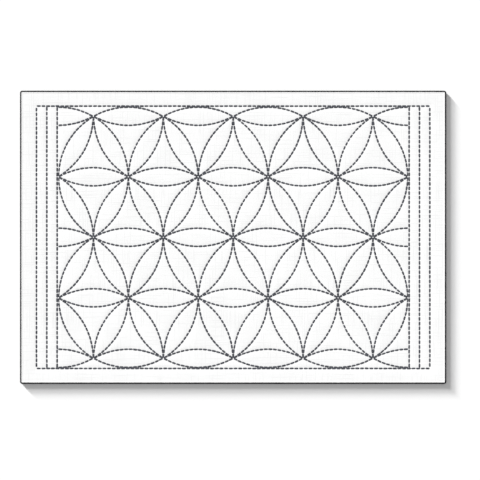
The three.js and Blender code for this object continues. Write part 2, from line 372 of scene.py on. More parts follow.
@dataclass(frozen=True)
class MatPlan:
    """Where the mat's edge, its ruled border and its lattice of circles lie.

    Attributes:
        half_x: Half of the mat's long side.
        half_y: Half of its short side.
        outer_x: The outer upright lines.
        field_half_y: The level lines.
        circle_radius: Also the distance between neighbouring crossings.
        petals_across: Whole petals side by side in a long row.
        crossing_rows: Rows of crossings.
        band_pitch: Between the upright lines of one side.
        corner_radius: At the mat's corners.
        corner_steps: Steps round a corner.
    """

    half_x: float
    half_y: float
    outer_x: float
    field_half_y: float
    circle_radius: float = 72 * MM
    petals_across: int = 5
    crossing_rows: int = 5
    band_pitch: float = 10.65 * MM
    corner_radius: float = 2.2 * MM
    corner_steps: int = 5

    @classmethod
    def from_frame(cls) -> "MatPlan":
        """Takes the mat's edge and its outer lines from the frame.

        Returns:
            The plan.
        """
        half_ridge = 0.4 * MM
        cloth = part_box("cloth")[1]
        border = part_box("border_stitching")[1]
        level_y = border.y - half_ridge - SEWING.draw_in
        return cls(cloth.x, cloth.y, border.x - half_ridge, level_y)

    @property
    def inner_x(self) -> float:
        """The inner upright lines, which bound the lattice."""
        return self.outer_x - 2 * self.band_pitch

    @property
    def rows(self) -> list[int]:
        """The rows of crossings, counted from the middle one."""
        last = (self.crossing_rows - 1) // 2
        return list(range(-last, last + 1))

    @property
    def short_rows(self) -> list[int]:
        """The rows that have one crossing less, and a cut petal at each end."""
        return [row for row in self.rows if row % 2 == 0]

    def crossings(self, row: int) -> list[np.ndarray]:
        """Places the crossings of one row.

        Args:
            row: The row, counted from the middle one.

        Returns:
            The crossings, from left to right.
        """
        count = self.petals_across + (row not in self.short_rows)
        first = -(count - 1) / 2 * self.circle_radius
        y = row * self.circle_radius * math.sin(SIXTH_TURN)
        return [np.array([first + n * self.circle_radius, y]) for n in range(count)]

    def petals(self) -> list[tuple[np.ndarray, np.ndarray]]:
        """Finds the whole petals: along each row, then aslant between neighbouring rows.

        Returns:
            The two crossings of each petal.
        """
        found = []
        for row in self.rows:
            here = self.crossings(row)
            above = self.crossings(row + 1) if row + 1 in self.rows else []
            found += zip(here, here[1:])
            for start in here:
                near = [end for end in above if abs(end[0] - start[0]) < self.circle_radius]
                found += [(start, end) for end in near]
        return found

    def centres(self, start: np.ndarray, end: np.ndarray) -> tuple[np.ndarray, np.ndarray]:
        """Finds the two circles that draw a petal.

        Args:
            start: One crossing.
            end: The next one.

        Returns:
            The circles' centres, the one left of the petal's line first.
        """
        along = end - start
        across = np.array([-along[1], along[0]]) * math.sin(SIXTH_TURN)
        middle = (start + end) / 2
        return middle + across, middle - across

    def arc(
        self,
        centre: np.ndarray,
        angles: tuple[float, float],
        stitches: int,
        leads: tuple[float, float],
        crowded: tuple[bool, bool],
    ) -> ArcRun:
        """Draws part of a circle.

        Args:
            centre: The circle's centre.
            angles: Where the arc starts and where it ends.
            stitches: How many stitches it has.
            leads: Bare cloth at its start and at its end.
            crowded: Whether other threads leave its start and its end in the same direction.

        Returns:
            The arc.
        """
        start, end = angles
        sweep = end - start
        return ArcRun(stitches, *leads, tuple(centre), self.circle_radius, start, sweep, crowded)

    def crowded(self, centre: np.ndarray, start: np.ndarray, end: np.ndarray) -> bool:
        """Tells whether other threads leave an arc's crossings in the same direction.

        Args:
            centre: The arc's centre.
            start: One crossing.
            end: The next one.

        Returns:
            False for the arcs that bulge out above the lattice's last row or below its first.
        """
        beyond = start[1] + end[1] - centre[1]
        last = self.crossings(self.rows[-1])[0][1]
        return bool(abs(beyond) < last + self.circle_radius / 2)

    def petal_arcs(self) -> list[ArcRun]:
        """Draws the whole petals.

        Returns:
            The two arcs of every whole petal.
        """
        arcs = []
        leads = (SEWING.open_centre, SEWING.open_centre)
        for start, end in self.petals():
            for centre, first in zip(self.centres(start, end), (start, end)):
                ray = first - centre
                angle = math.atan2(ray[1], ray[0])
                angles = (angle, angle + SIXTH_TURN)
                both = 2 * (self.crowded(centre, start, end),)
                arcs.append(self.arc(centre, angles, SEWING.arc_stitches, leads, both))
        return arcs

    def cut_arcs(self) -> list[ArcRun]:
        """Draws the petals that the inner upright lines cut.

        Returns:
            The two half arcs of every cut petal.
        """
        arcs = []
        for row in self.short_rows:
            here = self.crossings(row)
            for side, start in ((1, here[-1]), (-1, here[0])):
                end = start + np.array([side * self.circle_radius, 0])
                arcs += [self.cut_arc(side, c, start, end) for c in self.centres(start, end)]
        return arcs

    def cut_arc(self, side: int, centre: np.ndarray, start: np.ndarray, end: np.ndarray) -> ArcRun:
        """Draws an arc from a crossing to an inner upright line.

        Args:
            side: 1 for the line at the right, -1 for the one at the left.
            centre: The arc's centre.
            start: The crossing.
            end: Where the next one would be, beyond the line.

        Returns:
            The arc.
        """
        up = math.copysign(1, start[1] - centre[1])
        at_crossing, at_line = (
            up * math.acos((x - centre[0]) / self.circle_radius)
            for x in (start[0], side * self.inner_x)
        )
        angles, leads = (at_crossing, at_line), (SEWING.open_centre, SEWING.short_of_line)
        crowded = (self.crowded(centre, start, end), False)
        if at_line < at_crossing:
            angles, leads, crowded = angles[::-1], leads[::-1], crowded[::-1]
        return self.arc(centre, angles, SEWING.cut_arc_stitches, leads, crowded)

    def border_lines(self) -> list[StraightRun]:
        """Draws the ruled border.

        Returns:
            The two level lines, and the three upright lines of each side.
        """
        x, y = self.outer_x, self.field_half_y
        count, lead = SEWING.level_stitches, SEWING.corner_lead
        lines = [StraightRun(count, lead, lead, (-x, level), (x, level)) for level in (y, -y)]
        for n, lead in enumerate(SEWING.upright_leads):
            for side in (1, -1):
                x = side * (self.inner_x + n * self.band_pitch)
                lines.append(StraightRun(SEWING.upright_stitches, lead, lead, (x, y), (x, -y)))
        return lines

    def edge_distance(self, points: np.ndarray) -> np.ndarray:
        """Measures how far points lie inside the mat's rounded outline.

        Args:
            points: One point a row.

        Returns:
            The distance of each point, less than 0 outside.
        """
        inner = np.abs(points) - (np.array([self.half_x, self.half_y]) - self.corner_radius)
        outside = np.linalg.norm(np.maximum(inner, 0), axis=1)
        return self.corner_radius - outside - np.minimum(inner.max(axis=1), 0)

    def outline(self, inset: float, spacing: float) -> tuple[np.ndarray, np.ndarray]:
        """Draws the mat's rounded outline, moved in, anticlockwise.

        Args:
            inset: How far it is moved in.
            spacing: The distance between points on the straight sides.

        Returns:
            One point a row, and the unit vector out of the mat at each.
        """
        radius = self.corner_radius - inset
        half = np.array([self.half_x, self.half_y]) - self.corner_radius
        points, outward = [], []
        for quarter, sign in enumerate(((1, 1), (-1, 1), (-1, -1), (1, -1))):
            hub = half * sign
            angle = math.pi / 2 * (quarter + np.linspace(0, 1, self.corner_steps + 1))
            rays = np.stack([np.cos(angle), np.sin(angle)], axis=1)
            side_ray, side_length = rays[-1], 2 * half[quarter % 2]
            steps = round(side_length / spacing)
            side_along = np.array([-side_ray[1], side_ray[0]]) * side_length
            shares = np.arange(1, steps).reshape(-1, 1) / steps
            points += [hub + radius * rays, hub + radius * side_ray + shares * side_along]
            outward += [rays, np.repeat(side_ray.reshape(1, 2), steps - 1, axis=0)]
        return np.concatenate(points), np.concatenate(outward)


# The shape of the cloth


@dataclass
class ClothSurface:
    """The height of the stitched face: plain pads, drawn down and puckered along the stitches.

    Attributes:
        plan: Where everything lies.
        runs: The lines of stitches.
        pad_height: Between the lines.
        groove_depth: How far the stitches draw the cloth down.
        groove_reach: How far from a line that is felt.
        groove_shape: How sharply it ends, from 1 for a slow fading.
        crown: How much more the wide pads stand up.
        crown_reach: Over what distance they do.
        pucker: The rise and fall from stitch to stitch.
        pucker_reach: How far from a line that is felt.
        ripple: The finer folds that run out from between the stitches.
        ripple_reach: How far they run.
        ripple_sway: How far they lean to one side or the other, as an angle.
        sway_length: How fast that changes along a line.
        fold_depths: The mean depth of the folds, and how far it differs from place to place.
        hem_rise: How far the rolled hem stands above the pads.
        hem_width: The rolled hem's width.
        hem_slope: Where its inner side falls, measured outwards and inwards from that width.
        crease: The depth of the fine crease along the hem's inner side.
        crease_offset: How far in from the hem it lies.
        crease_width: How wide it is.
        unevenness: The height of the slow waves in the cloth.
        wave_count: How many slow waves there are.
        wave_lengths: The shortest and the longest slow wave.
        calm_share: What is left of the slow waves at the edge.
        calm_margin: How far in from the edge they are weaker.
        seed: For the slow waves.
    """

    plan: MatPlan
    runs: list[Run]
    pad_height: float = 1.52 * MM
    groove_depth: float = 0.36 * MM
    groove_reach: float = 1.9 * MM
    groove_shape: float = 1.3
    crown: float = 0.14 * MM
    crown_reach: float = 6 * MM
    pucker: float = 0.06 * MM
    pucker_reach: float = 1.7 * MM
    ripple: float = 0.03 * MM
    ripple_reach: float = 4.5 * MM
    ripple_sway: float = 1.1
    sway_length: float = 9 * MM
    fold_depths: tuple[float, float] = (0.75, 0.45)
    hem_rise: float = 0.22 * MM
    hem_width: float = 3 * MM
    hem_slope: tuple[float, float] = (1 * MM, 0.2 * MM)
    crease: float = 0.07 * MM
    crease_offset: float = 0.5 * MM
    crease_width: float = 0.6 * MM
    unevenness: float = 0.05 * MM
    wave_count: int = 18
    wave_lengths: tuple[float, float] = (22 * MM, 120 * MM)
    calm_share: float = 0.3
    calm_margin: float = 20 * MM
    seed: int = 11
    waves: np.ndarray = field(init=False)

    def __post_init__(self) -> None:
        """Draws the slow waves.

        Each row of them is one wave: its wave vector, its phase and its share of the height.
        """
        rng = np.random.default_rng(self.seed)
        lengths = rng.uniform(*self.wave_lengths, self.wave_count)
        directions = rng.uniform(0, TAU, self.wave_count)
        numbers = TAU / lengths
        shares = lengths / lengths.max() / math.sqrt(self.wave_count / 2)
        phases = rng.uniform(0, TAU, self.wave_count)
        self.waves = np.stack(
            [numbers * np.cos(directions), numbers * np.sin(directions), phases, shares], axis=1
        )

    def slow_waves(self, points: np.ndarray) -> np.ndarray:
        """Adds up the slow waves.

        Args:
            points: One point a row.

        Returns:
            The sum at each point, mostly between -1 and 1.
        """
        total = np.zeros(len(points))
        for x, y, phase, share in self.waves:
            total += share * np.sin(points[:, 0] * x + points[:, 1] * y + phase)
        return total

    def line_distance(self, points: np.ndarray) -> np.ndarray:
        """Measures how far points are from the nearest line of stitches.

        Args:
            points: One point a row.

        Returns:
            The distance of each point.
        """
        best = np.full(len(points), np.inf)
        for run in self.runs:
            best = np.minimum(best, run.nearest(points)[0])
        return best

    def hem(self, edge: np.ndarray) -> np.ndarray:
        """Shapes the rolled hem and the crease along its inner side.

        Args:
            edge: Distances in from the mat's edge.

        Returns:
            What they add to the height at each distance.
        """
        outwards, inwards = self.hem_slope
        roll = 1 - smooth_step(self.hem_width - outwards, self.hem_width + inwards, edge)
        off_crease = (edge - self.hem_width - self.crease_offset) / self.crease_width
        crease = np.exp(-(off_crease**2))
        return self.hem_rise * roll - self.crease * crease

    def heights(self, points: np.ndarray) -> np.ndarray:
        """Shapes the whole face.

        Args:
            points: One point a row.

        Returns:
            The height at each point.
        """
        free = np.ones(len(points))
        wide = np.full(len(points), np.inf)
        sums = np.zeros((4, len(points)))
        for run in self.runs:
            distance, along = run.nearest(points)
            phase = TAU * (along - run.first) / run.pitch
            free *= 1 - np.exp(-((distance / self.groove_reach) ** self.groove_shape))
            wide = np.minimum(wide, distance)
            near = np.exp(-((distance / self.pucker_reach) ** 2))
            far = np.exp(-distance / self.ripple_reach)
            lean = self.ripple_sway * np.sin(along / self.sway_length)
            sway = lean * distance / self.ripple_reach
            sums += (near, near * np.cos(phase), far, far * np.cos(phase + sway))
        near_sum, near_folds, far_sum, far_folds = sums
        folds = self.pucker * near_folds / np.maximum(near_sum, 1)
        folds += self.ripple * far_folds / np.maximum(far_sum, 1)
        waves = self.slow_waves(points)
        edge = self.plan.edge_distance(points)
        # The folds are deeper in some places than in others, as in any hand sewing.
        mean_depth, more_depth = self.fold_depths
        folds *= mean_depth + more_depth * np.tanh(waves)
        calm = smooth_step(0, self.calm_margin, edge)
        calm = self.calm_share + (1 - self.calm_share) * calm
        pad = self.pad_height + self.crown * (1 - np.exp(-wide / self.crown_reach))
        groove = self.groove_depth * (1 - free)
        return pad - groove - folds + self.hem(edge) + self.unevenness * waves * calm


# Node trees


class Graph:
    """Adds nodes to a tree and links them."""

    def __init__(self, tree: bpy.types.NodeTree) -> None:
        """Keeps the tree that it works on."""
        self.tree = tree

    def feed(self, socket: Socket, value: SocketValue) -> None:
        """Links a socket into another one, or sets its value.

        Args:
            socket: The socket that takes it.
            value: What goes into it. None leaves it alone.
        """
        if isinstance(value, Socket):
            self.tree.links.new(value, socket)
        elif value is not None:
            socket.default_value = value

    def feed_all(self, node: bpy.types.Node, values: dict[str, SocketValue]) -> None:
        """Feeds some of a node's inputs by their names or identifiers.

        Args:
            node: The node.
            values: What goes into each of them.
        """
        for label, value in values.items():
            socket = next(s for s in node.inputs if s.enabled and label in (s.identifier, s.name))
            self.feed(socket, value)

    def add(self, kind: str, *values: SocketValue, **settings: object) -> bpy.types.Node:
        """Adds a node.

        Args:
            kind: The node's type.
            values: What goes into its sockets, in order. None leaves a socket alone.
            settings: The node's own settings.

        Returns:
            The node.
        """
        node = self.tree.nodes.new(kind)
        for name, setting in settings.items():
            setattr(node, name, setting)
        for socket, value in zip(node.inputs, values):
            self.feed(socket, value)
        return node

    def math(self, operation: str, *values: SocketValue) -> Socket:
        """The result of a Math node."""
        return self.add("ShaderNodeMath", *values, operation=operation).outputs[0]

    def product(self, *values: SocketValue) -> Socket:
        """Two or more values multiplied."""
        return reduce(lambda so_far, value: self.math("MULTIPLY", so_far, value), values)

    def combine(self, x: SocketValue, y: SocketValue, z: SocketValue = 0.0) -> Socket:
        """A vector from its three numbers."""
        return self.add("ShaderNodeCombineXYZ", x, y, z).outputs[0]

    def separate(self, vector: Socket) -> tuple[Socket, Socket, Socket]:
        """The three numbers of a vector."""
        return tuple(self.add("ShaderNodeSeparateXYZ", vector).outputs)

    def spread(self, value: Socket, low: float, high: float, to: tuple[float, float]) -> Socket:
        """A value brought smoothly from one range into another."""
        kind = "ShaderNodeMapRange"
        return self.add(kind, value, low, high, *to, interpolation_type="SMOOTHSTEP").outputs[0]

    def noise(self, spot: Socket, scale: tuple[float, ...], detail: float) -> Socket:
        """Makes noise that is stretched by a scale of its own along each axis.

        Args:
            spot: Where to look.
            scale: The noise's scale along each axis.
            detail: How much finer noise it has.

        Returns:
            The noise, between 0 and 1.
        """
        stretched = self.add("ShaderNodeMapping", spot)
        self.feed_all(stretched, {"Scale": scale})
        noise = self.add("ShaderNodeTexNoise", stretched.outputs[0])
        self.feed_all(noise, {"Scale": 1.0, "Detail": detail})
        return noise.outputs["Fac"]


class GrowingTree:
    """A Geometry Nodes tree that sets one small closed tube of thread on many places of a path."""

    def __init__(self, name: str, sizes: dict[str, float], counts: dict[str, int]) -> None:
        """Makes the tree's named inputs.

        Args:
            name: The tree's name.
            sizes: Its inputs that are numbers, with their usual values.
            counts: Its inputs that are whole numbers, with their usual values.
        """
        self.tree = bpy.data.node_groups.new(name, "GeometryNodeTree")
        face = self.tree.interface
        face.new_socket(name="Geometry", in_out="INPUT", socket_type="NodeSocketGeometry")
        for socket_type, inputs in (("NodeSocketFloat", sizes), ("NodeSocketInt", counts)):
            for label, value in inputs.items():
                socket = face.new_socket(name=label, in_out="INPUT", socket_type=socket_type)
                socket.default_value = value
        face.new_socket(name="Material", in_out="INPUT", socket_type="NodeSocketMaterial")
        face.new_socket(name="Geometry", in_out="OUTPUT", socket_type="NodeSocketGeometry")
        self.graph = Graph(self.tree)
        self.inputs = self.graph.add("NodeGroupInput").outputs

    def random(self, low: SocketValue, high: SocketValue, stream: int) -> Socket:
        """Draws a random number for each place.

        Args:
            low: The least that it may be.
            high: The most.
            stream: Added to the tree's seed, so that each use draws numbers of its own.

        Returns:
            The number.
        """
        seed = self.graph.math("ADD", self.inputs["Seed"], float(stream))
        node = self.graph.add("FunctionNodeRandomValue", data_type="FLOAT")
        self.graph.feed_all(node, {"Min_001": low, "Max_001": high, "Seed": seed})
        return next(s for s in node.outputs if s.identifier == "Value_001")

    def around(self, middle: float, spread: Socket, stream: int) -> Socket:
        """Draws a random number round another one for each place.

        Args:
            middle: The number that it lies round.
            spread: The most that it is off.
            stream: As in random.

        Returns:
            The number.
        """
        low = self.graph.math("SUBTRACT", middle, spread)
        high = self.graph.math("ADD", middle, spread)
        return self.random(low, high, stream)

    def attribute(self, name: str, data_type: str) -> Socket:
        """An attribute of the path."""
        kind = "GeometryNodeInputNamedAttribute"
        return self.graph.add(kind, name, data_type=data_type).outputs[0]

    def stored(
        self, geometry: Socket, name: str, value: Socket, data_type: str, domain: str
    ) -> Socket:
        """Stores an attribute.

        Args:
            geometry: What it is stored on.
            name: The attribute's name.
            value: What is stored.
            data_type: Its type.
            domain: Where it is stored.

        Returns:
            The geometry with it.
        """
        kind = "GeometryNodeStoreNamedAttribute"
        node = self.graph.add(kind, geometry, data_type=data_type, domain=domain)
        self.graph.feed_all(node, {"Name": name, "Value": value})
        return node.outputs[0]

    def spots(self, count: Socket) -> tuple[Socket, Socket]:
        """Sets places evenly along each chain of the path.

        Args:
            count: How many places.

        Returns:
            The places, and the path's direction at each.
        """
        graph = self.graph
        curve = graph.add("GeometryNodeMeshToCurve", self.inputs["Geometry"]).outputs[0]
        even = graph.add("GeometryNodeResampleCurve", curve, None, count, mode="COUNT").outputs[0]
        outputs = graph.add("GeometryNodeCurveToPoints", even, mode="EVALUATED").outputs
        return outputs["Points"], outputs["Tangent"]

    def turned(self, axis: str, towards: Socket, roll: SocketValue, turn: Socket) -> Socket:
        """Turns each tube.

        Args:
            axis: The tube's axis that is set along the path or across it.
            towards: Where it points.
            roll: How far the tube is then rolled about its own X.
            turn: How far it is turned in the plane of the mat.

        Returns:
            The rotation.
        """
        graph = self.graph
        facing = graph.add("FunctionNodeAlignRotationToVector", None, None, towards)
        facing.axis, facing.pivot_axis = axis, "Z"
        own = graph.add("FunctionNodeEulerToRotation", graph.combine(roll, 0.0, turn)).outputs[0]
        kind = "FunctionNodeRotateRotation"
        return graph.add(kind, facing.outputs[0], own, rotation_space="LOCAL").outputs[0]

    def tube(self, place: Callable[[Socket, Socket], Socket], length: SocketValue) -> Socket:
        """Makes a closed tube of thread.

        Args:
            place: Gives a point of it from a number that is -1 at one end and 1 at the other, and
                from the angle round it. At both ends all angles give one point. Two thirds of the
                tube's sides lie in the first half turn, which shows.
            length: The tube's length, for the twist.

        Returns:
            The tube, with its length and the turn round it as a UV map.
        """
        graph, weld = self.graph, 0.01 * MM
        in_first_half, in_second_half = 0.75 * TAU, 1.5 * TAU
        columns = graph.math("ADD", self.inputs["Sides"], 1.0)
        grid = graph.add("GeometryNodeMeshGrid", 1.0, 1.0, self.inputs["Rings"], columns)
        across, around, _ = graph.separate(graph.add("GeometryNodeInputPosition").outputs[0])
        reach = graph.math("SINE", graph.product(across, math.pi))
        turn = graph.math("ADD", around, 0.5)
        showing = graph.product(turn, in_first_half)
        hidden = graph.math("MULTIPLY_ADD", turn, in_second_half, TAU - in_second_half)
        angle = graph.math("MAXIMUM", showing, hidden)
        u, v, _ = graph.separate(grid.outputs["UV Map"])
        along = graph.math("COSINE", graph.product(u, math.pi))
        uv = graph.combine(graph.product(along, length, -0.5), v)
        mapped = self.stored(grid.outputs["Mesh"], "UVMap", uv, "FLOAT2", "CORNER")
        bent = graph.add("GeometryNodeSetPosition", mapped, None, place(reach, angle))
        welded = graph.add("GeometryNodeMergeByDistance", bent.outputs[0])
        graph.feed_all(welded, {"Distance": weld})
        return graph.add("GeometryNodeSetShadeSmooth", welded.outputs[0]).outputs[0]

    def section(
        self, reach: Socket, angle: Socket, ends: tuple[float, float], thickness: SocketValue
    ) -> tuple[Socket, Socket, Socket]:
        """Shapes the thread's round section, which gets smaller at both ends.

        Args:
            reach: -1 at one end of the thread and 1 at the other.
            angle: The angle round it.
            ends: How late the ends begin and how they are rounded, as powers.
            thickness: The thread's thickness.

        Returns:
            How far a point lies aside of the thread's middle and above it, and how near an end it
            is, from 0 to 1.
        """
        graph, (lateness, rounding) = self.graph, ends
        near_end = graph.math("POWER", graph.math("ABSOLUTE", reach), lateness)
        inside = graph.math("MAXIMUM", graph.math("SUBTRACT", 1.0, near_end), 0.0)
        radius = graph.product(graph.math("POWER", inside, rounding), thickness, 0.5)
        backwards = graph.math("COSINE", graph.math("ADD", angle, math.pi))
        up = graph.product(radius, graph.math("SINE", angle))
        return graph.product(radius, backwards), up, near_end

    def close(self, points: Socket, tube: Socket, rotation: Socket, scale: Socket) -> None:
        """Sets the tube on the places, each with a tone of its own, and ends the tree.

        Args:
            points: The places.
            tube: The tube of thread.
            rotation: How it is turned at each place.
            scale: Its size at each place.
        """
        graph = self.graph
        node = graph.add("GeometryNodeInstanceOnPoints", points)
        graph.feed_all(node, {"Instance": tube, "Rotation": rotation, "Scale": scale})
        tone = self.random(0.0, 1.0, stream=9)
        toned = self.stored(node.outputs[0], "tone", tone, "FLOAT", "INSTANCE")
        real = graph.add("GeometryNodeRealizeInstances", toned)
        dressed = graph.add("GeometryNodeSetMaterial", real.outputs[0])
        graph.feed_all(dressed, {"Material": self.inputs["Material"]})
        graph.add("NodeGroupOutput", dressed.outputs[0])

    def grow(
        self,
        name: str,
        path: bpy.types.Mesh,
        values: dict[str, float | int],
        material: bpy.types.Material,
    ) -> bpy.types.Object:
        """Runs the tree on a path.

        Args:
            name: The new piece's name.
            path: Edges that carry the attributes which the tree reads.
            values: Inputs that differ from their usual values.
            material: What the tubes are made of.

        Returns:
            The piece, as a plain mesh.
        """
        piece = placed(name, path)
        modifier = piece.modifiers.new("grow", "NODES")
        modifier.node_group = self.tree
        wanted = {**values, "Material": material}
        for item in self.tree.interface.items_tree:
            if item.item_type == "SOCKET" and item.in_out == "INPUT" and item.name in wanted:
                modifier[item.identifier] = wanted[item.name]
        depsgraph = bpy.context.evaluated_depsgraph_get()
        mesh = bpy.data.meshes.new_from_object(
            piece.evaluated_get(depsgraph), preserve_all_data_layers=True, depsgraph=depsgraph
        )
        mesh.name = name
        piece.modifiers.remove(modifier)
        piece.data = mesh
        return piece


# Finishes


@dataclass(frozen=True)
class Finish(ABC):
    """A dull textile surface with a fine relief.

    Attributes:
        relief: How far its yarns or plies stand out.
        bump: How strongly they show.
        roughness: Of the surface.
        gloss: Its specular level.
        fuzz: The weight of its soft sheen.
        fuzz_roughness: Of that sheen.
    """

    relief: float
    bump: float
    roughness: float
    gloss: float
    fuzz: float
    fuzz_roughness: float

    @abstractmethod
    def pattern(self, graph: Graph) -> tuple[Socket, Socket]:
        """The colour and the height of every place."""

    def material(self, name: str) -> bpy.types.Material:
        """Makes the material.

        Args:
            name: The material's name.

        Returns:
            The material.
        """
        made = bpy.data.materials.new(name)
        made.use_nodes = True
        graph = Graph(made.node_tree)
        colour, height = self.pattern(graph)
        bump = graph.add("ShaderNodeBump")
        values = {"Strength": self.bump, "Distance": self.relief, "Height": height}
        graph.feed_all(bump, values)
        values = {
            "Base Color": colour,
            "Normal": bump.outputs[0],
            "Roughness": self.roughness,
            "Specular IOR Level": self.gloss,
            "Sheen Weight": self.fuzz,
            "Sheen Roughness": self.fuzz_roughness,
        }
        graph.feed_all(made.node_tree.nodes["Principled BSDF"], values)
        return made


@dataclass(frozen=True)
class Cotton(Finish):
    """Bleached plain-weave cotton, on the piece's own object coordinates.

    Attributes:
        yarn: The distance between neighbouring yarns.
        white: The yarn's colour.
        roundness: The power that shapes a yarn's back, less than 2 for a flatter one.
        float_rise: How far a yarn rises over the one that it crosses.
        float_bend: The power that shapes that rise.
        sway: How far the yarns wander, in yarns.
        sway_scale: The scale of the noise that they wander by.
        cloud_scale: The scale of the slow changes in its white.
        cloud_range: The noise between which they run.
        cloudiness: The darkest of them.
        painted_gap_shade: Painted shade: how much darker the colour is made in the gaps between
            yarns.
        gap_sharpness: How sharply that painted shade gathers in the gaps.
        slub_height: How far a slub stands out, as a share of the relief.
        slub_shade: How much darker a slub is.
        slub_scales: The scales of the slubs' noise, along the yarn and across it.
        slub_range: The noise between which a slub rises.
    """

    relief: float = 0.14 * MM
    bump: float = 0.7
    roughness: float = 0.92
    gloss: float = 0.2
    fuzz: float = 0.12
    fuzz_roughness: float = 0.5
    yarn: float = 0.62 * MM
    white: tuple[float, float, float] = (0.955, 0.956, 0.955)
    roundness: float = 1.3
    float_rise: float = 0.45
    float_bend: float = 0.5
    sway: float = 0.9
    sway_scale: float = 70.0
    cloud_scale: float = 28.0
    cloud_range: tuple[float, float] = (0.3, 0.7)
    cloudiness: float = 0.975
    painted_gap_shade: float = 0.22
    gap_sharpness: float = 1.5
    slub_height: float = 0.6
    slub_shade: float = 0.035
    slub_scales: tuple[float, float] = (30.0, 950.0)
    slub_range: tuple[float, float] = (0.6, 0.74)

    def pattern(self, graph: Graph) -> tuple[Socket, Socket]:
        """Draws the weave, with its slubs, and paints shade into the gaps between yarns.

        Args:
            graph: The material's graph.

        Returns:
            The colour and the height of every place.
        """
        spot = graph.add("ShaderNodeTexCoord").outputs["Object"]
        slubs = []
        for scale in (self.slub_scales, self.slub_scales[::-1]):
            noise = graph.noise(spot, (*scale, 1.0), detail=0.0)
            slubs.append(graph.spread(noise, *self.slub_range, (0.0, 1.0)))
        slub = graph.math("MAXIMUM", *slubs)
        woven, gap = self.weave(graph, spot)
        height = graph.math("MULTIPLY_ADD", slub, self.slub_height, woven)
        clouds = graph.noise(spot, 3 * (self.cloud_scale,), detail=3.0)
        tone_and_painted_shade = graph.spread(clouds, *self.cloud_range, (self.cloudiness, 1.0))
        # Painted shade: the colour is darkened in the gaps between yarns.
        tone_and_painted_shade = graph.math("MULTIPLY_ADD", gap, -self.painted_gap_shade, tone_and_painted_shade)
        tone_and_painted_shade = graph.math("MULTIPLY_ADD", slub, -self.slub_shade, tone_and_painted_shade)
        colour = graph.add("ShaderNodeVectorMath", self.white, operation="SCALE")
        graph.feed_all(colour, {"Scale": tone_and_painted_shade})
        return colour.outputs[0], height

    def weave(self, graph: Graph, spot: Socket) -> tuple[Socket, Socket]:
        """Draws a plain weave, whose yarns wander a little.

        Args:
            graph: The material's graph.
            spot: Where to look.

        Returns:
            The height, and how deep a place lies in a gap between yarns, which the colour darkens
            as painted shade.
        """
        noise = graph.noise(spot, 3 * (self.sway_scale,), detail=2.0)
        wander = graph.product(graph.math("SUBTRACT", noise, 0.5), self.sway)
        waves = []
        for place in graph.separate(spot)[:2]:
            turns = graph.math("ADD", graph.math("DIVIDE", place, self.yarn), wander)
            waves.append(graph.math("SINE", graph.product(turns, math.pi)))
        sides = [graph.math("SIGN", wave) for wave in waves]
        sizes = [graph.math("ABSOLUTE", wave) for wave in waves]
        over = graph.product(*sides, self.float_rise)
        under = graph.product(over, -1.0)
        yarns = []
        for (own, crossed), way in ((sizes, over), (sizes[::-1], under)):
            bulge = graph.math("POWER", own, self.roundness)
            bulge = graph.product(bulge, 1.0 - self.float_rise)
            bend = graph.math("POWER", crossed, self.float_bend)
            yarns.append(graph.math("MULTIPLY_ADD", bend, way, bulge))
        height = graph.math("MAXIMUM", *yarns)
        depth = graph.math("SUBTRACT", 1.0, height)
        return height, graph.math("POWER", depth, self.gap_sharpness)


